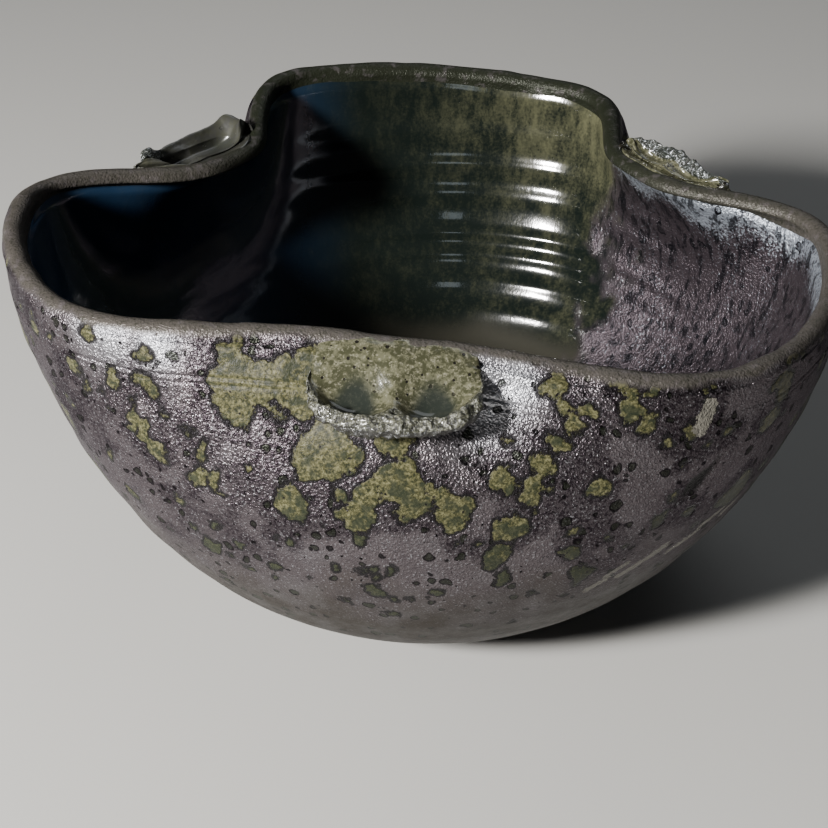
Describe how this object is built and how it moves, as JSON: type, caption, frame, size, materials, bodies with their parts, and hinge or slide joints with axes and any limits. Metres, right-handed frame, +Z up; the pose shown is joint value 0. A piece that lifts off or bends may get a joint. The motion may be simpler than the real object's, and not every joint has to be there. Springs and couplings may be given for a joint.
{
  "type": "yarn bowl",
  "caption": "Stoneware yarn bowl with a trefoil mouth, pressed-in dips in the rim and a thumb-pressed clay lug outside each dip.",
  "frame": {"origin": "centre of the foot ring's standing face, on the throwing axis", "axes": "+Z up through the mouth, -Y towards the front lug, +X to the right when that lug faces the user"},
  "size_m": [0.1887, 0.1773, 0.0991],
  "materials": {
    "thrown_bowl": "satin lustre glaze, lilac grey with olive spots",
    "foot_ring": "bare fired clay, matt",
    "liner_glaze": "gloss, dark green-black with olive mottling",
    "thumb_lugs": "crusty olive and cream ridges, glossy grey-green in the thumb presses"
  },
  "bodies": {
    "root": {"thrown_bowl": "thrown_bowl", "foot_ring": "foot_ring", "liner_glaze": "liner_glaze", "front_thumb_lug": "thumb_lugs", "back_left_thumb_lug": "thumb_lugs", "back_right_thumb_lug": "thumb_lugs"}
  },
  "joints": []
}
